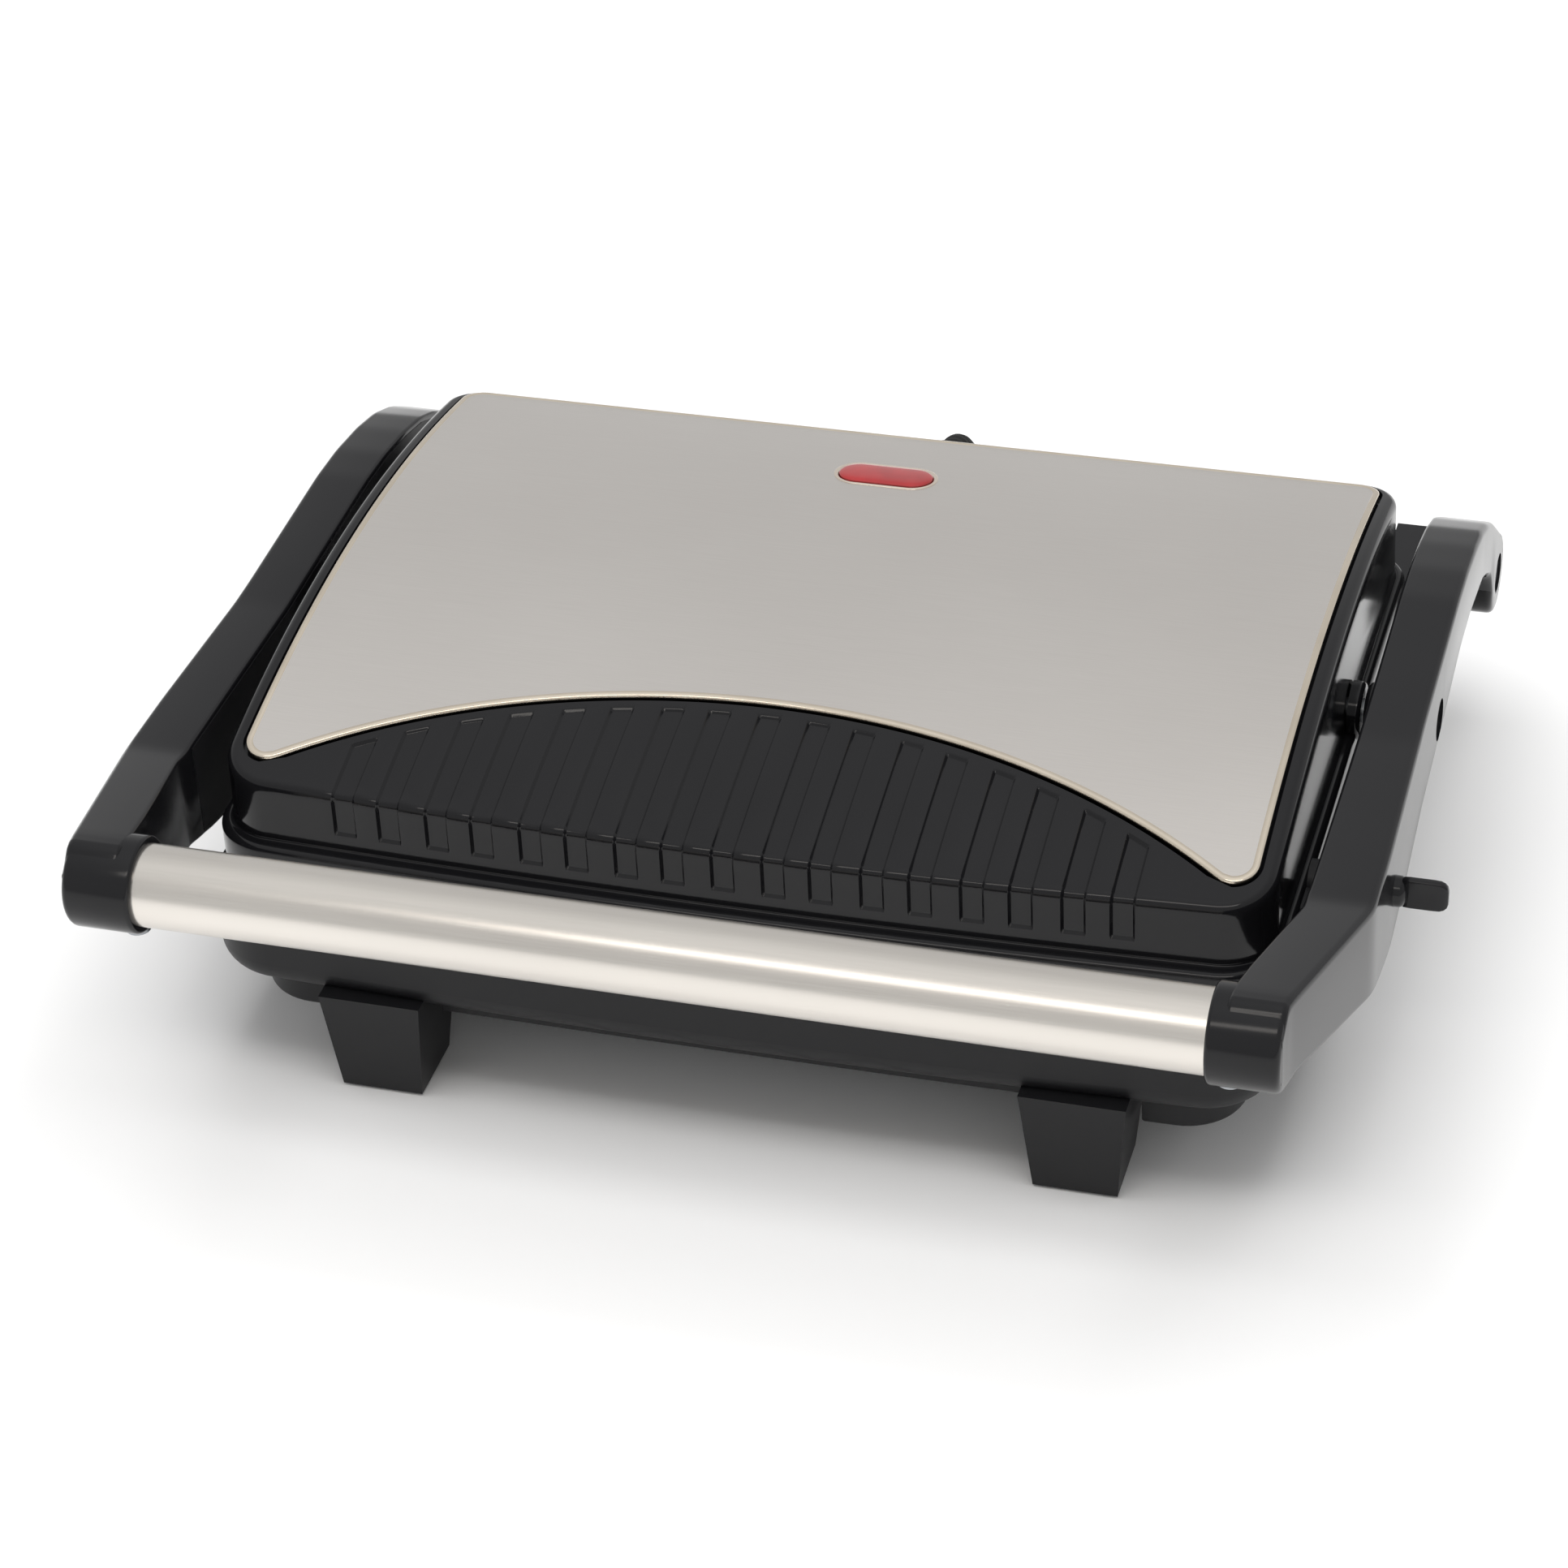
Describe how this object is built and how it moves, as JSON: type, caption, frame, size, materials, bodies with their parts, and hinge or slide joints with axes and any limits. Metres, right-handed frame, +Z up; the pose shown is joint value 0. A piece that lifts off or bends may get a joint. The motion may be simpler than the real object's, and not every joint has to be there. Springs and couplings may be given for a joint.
{
  "type": "panini press",
  "caption": "Closed contact grill with an arched lid, a steel top panel, a cross-bar handle on two side arms, a quarter-turn latch and a base on four legs.",
  "frame": {"origin": "on the floor, under the middle of the whole outline, handle and latch included", "axes": "+Z up, +Y to the back (hinge side), -Y to the handle, X across the lid"},
  "size_m": [0.3218, 0.2796, 0.0932],
  "materials": {
    "shell_black": "high-gloss black moulding",
    "arm_black": "satin-gloss black moulding",
    "base_black": "fine-textured black moulding",
    "brushed_steel": "long-grain brushed stainless steel",
    "red_lens": "clear red indicator window",
    "coated_aluminium": "die casting with non-stick coating",
    "bright_sheet": "bright aluminised sheet",
    "black_rubber": "matt black rubber",
    "lamp_glass": "clear glass lamp",
    "white_insulator": "pale ceramic-filled moulding",
    "plain_steel": "zinc-plated steel"
  },
  "bodies": {
    "base": {"base_housing": "base_black", "base_loom_bush": "black_rubber", "bottom_cover": "base_black", "cord_gland": "black_rubber", "cover_screws": "plain_steel", "foot_pads": "black_rubber", "latch_catch": "base_black", "left_hinge_pin": "plain_steel", "loom_lower": "black_rubber", "lower_element": "plain_steel", "lower_plate": "coated_aluminium", "lower_reflector": "bright_sheet", "lower_thermostat": "white_insulator", "right_hinge_pin": "plain_steel", "terminal_block": "white_insulator"},
    "arms": {"handle_screws": "plain_steel", "handle_tube": "brushed_steel", "left_arm": "arm_black", "left_arm_boss": "shell_black", "left_arm_cover": "base_black", "left_pivot_pin": "plain_steel", "left_tube_plug": "base_black", "loom_upper": "black_rubber", "right_arm": "arm_black", "right_arm_boss": "shell_black", "right_arm_cover": "base_black", "right_pivot_pin": "plain_steel", "right_tube_plug": "base_black"},
    "lid": {"indicator_lens": "red_lens", "lamp_holder": "white_insulator", "left_lid_boss": "shell_black", "lid_loom_bush": "black_rubber", "lid_shell": "shell_black", "neon_lamp": "lamp_glass", "right_lid_boss": "shell_black", "thermal_fuse": "plain_steel", "top_panel": "brushed_steel", "upper_element": "plain_steel", "upper_plate": "coated_aluminium", "upper_reflector": "bright_sheet", "upper_thermostat": "white_insulator"},
    "latch": {"latch_lever": "arm_black", "latch_hook": "base_black", "latch_ring": "plain_steel"}
  },
  "joints": [
    {"name": "arm_hinge", "type": "hinge", "parent": "base", "child": "arms", "pos_m": [-0.0063, 0.12885, 0.0434], "axis": [-1, 0, 0], "range_deg": [0, 100], "deforming": ["loom_lower"]},
    {"name": "lid_pivot", "type": "hinge", "parent": "arms", "child": "lid", "pos_m": [-0.0063, 0.02585, 0.0645], "axis": [-1, 0, 0], "range_deg": [0, 8], "deforming": ["loom_upper"]},
    {"name": "latch_turn", "type": "hinge", "parent": "arms", "child": "latch", "pos_m": [0.1337, -0.04665, 0.0644], "axis": [1, 0, 0], "range_deg": [0, 90]}
  ],
  "couplings": [
    {"joint": "lid_pivot", "follows": "arm_hinge", "ratio": 0.08}
  ]
}
